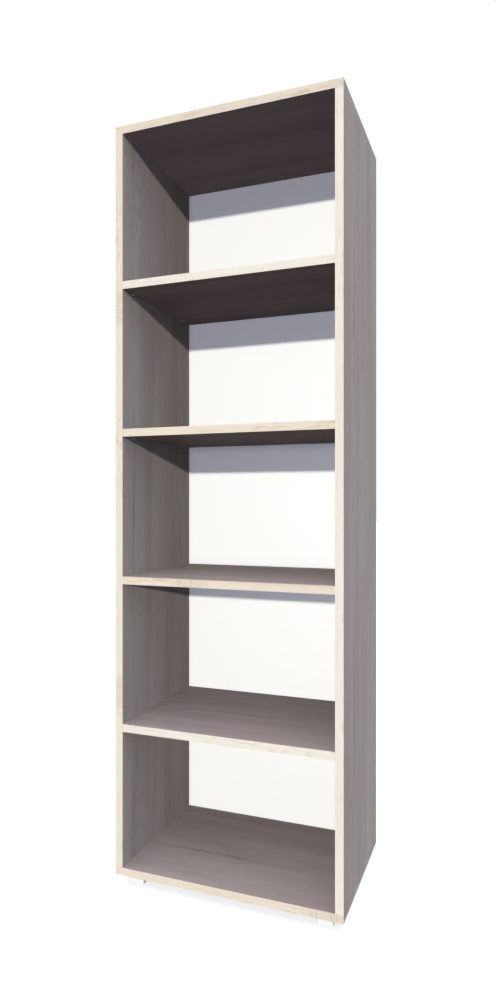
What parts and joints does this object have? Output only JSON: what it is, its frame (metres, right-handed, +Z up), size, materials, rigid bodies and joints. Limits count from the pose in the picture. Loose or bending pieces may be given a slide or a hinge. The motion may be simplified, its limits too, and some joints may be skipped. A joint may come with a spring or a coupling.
{
  "type": "office shelving unit",
  "caption": "Tall narrow open-fronted office shelving unit of pale oak-faced board with a white back panel, loose shelves on pins and low white block feet.",
  "frame": {"origin": "on the floor, in the middle of the unit's width and depth", "axes": "+Z up; +X to the right as seen from the front; the open front faces -Y"},
  "size_m": [0.6, 0.4, 1.954],
  "materials": {
    "oak_board": "pale bleached-oak decor on chipboard, fine straight grain, satin",
    "edge_band": "cream oak-decor edging strip, satin",
    "white_back": "thin fibreboard, white satin foil in front, raw brown behind",
    "white_foot": "moulded white plastic, fine matt",
    "zinc": "zinc-plated hardware",
    "beech": "plain beech dowel"
  },
  "bodies": {
    "case": {"side_panel_left": "oak_board", "side_front_band_left": "edge_band", "side_panel_right": "oak_board", "side_front_band_right": "edge_band", "top_panel": "oak_board", "top_front_band": "edge_band", "top_end_band_left": "edge_band", "top_end_band_right": "edge_band", "bottom_panel": "oak_board", "bottom_front_band": "edge_band", "bottom_end_band_left": "edge_band", "bottom_end_band_right": "edge_band", "back_panel": "white_back", "shelf_3_fixed": "oak_board", "shelf_3_front_band": "edge_band", "foot_front_left": "white_foot", "foot_screw_front_left": "zinc", "top_case_screw_front_left": "zinc", "bottom_case_screw_front_left": "zinc", "cam_front_left": "zinc", "cam_bolt_front_left": "zinc", "shelf_1_pin_front_left": "zinc", "shelf_2_pin_front_left": "zinc", "shelf_4_pin_front_left": "zinc", "foot_front_right": "white_foot", "foot_screw_front_right": "zinc", "top_case_screw_front_right": "zinc", "bottom_case_screw_front_right": "zinc", "cam_front_right": "zinc", "cam_bolt_front_right": "zinc", "shelf_1_pin_front_right": "zinc", "shelf_2_pin_front_right": "zinc", "shelf_4_pin_front_right": "zinc", "foot_rear_left": "white_foot", "foot_screw_rear_left": "zinc", "top_case_screw_rear_left": "zinc", "bottom_case_screw_rear_left": "zinc", "cam_rear_left": "zinc", "cam_bolt_rear_left": "zinc", "shelf_1_pin_rear_left": "zinc", "shelf_2_pin_rear_left": "zinc", "shelf_4_pin_rear_left": "zinc", "foot_rear_right": "white_foot", "foot_screw_rear_right": "zinc", "top_case_screw_rear_right": "zinc", "bottom_case_screw_rear_right": "zinc", "cam_rear_right": "zinc", "cam_bolt_rear_right": "zinc", "shelf_1_pin_rear_right": "zinc", "shelf_2_pin_rear_right": "zinc", "shelf_4_pin_rear_right": "zinc", "shelf_dowel_left": "beech", "shelf_dowel_right": "beech"},
    "shelf_1": {"shelf_1_loose": "oak_board", "shelf_1_front_band": "edge_band"},
    "shelf_2": {"shelf_2_loose": "oak_board", "shelf_2_front_band": "edge_band"},
    "shelf_4": {"shelf_4_loose": "oak_board", "shelf_4_front_band": "edge_band"}
  },
  "joints": [
    {"name": "shelf_1_draw_out", "type": "slide", "parent": "case", "child": "shelf_1", "axis": [0, -1, 0], "range_m": [0, 0.4]},
    {"name": "shelf_2_draw_out", "type": "slide", "parent": "case", "child": "shelf_2", "axis": [0, -1, 0], "range_m": [0, 0.4]},
    {"name": "shelf_4_draw_out", "type": "slide", "parent": "case", "child": "shelf_4", "axis": [0, -1, 0], "range_m": [0, 0.4]}
  ]
}
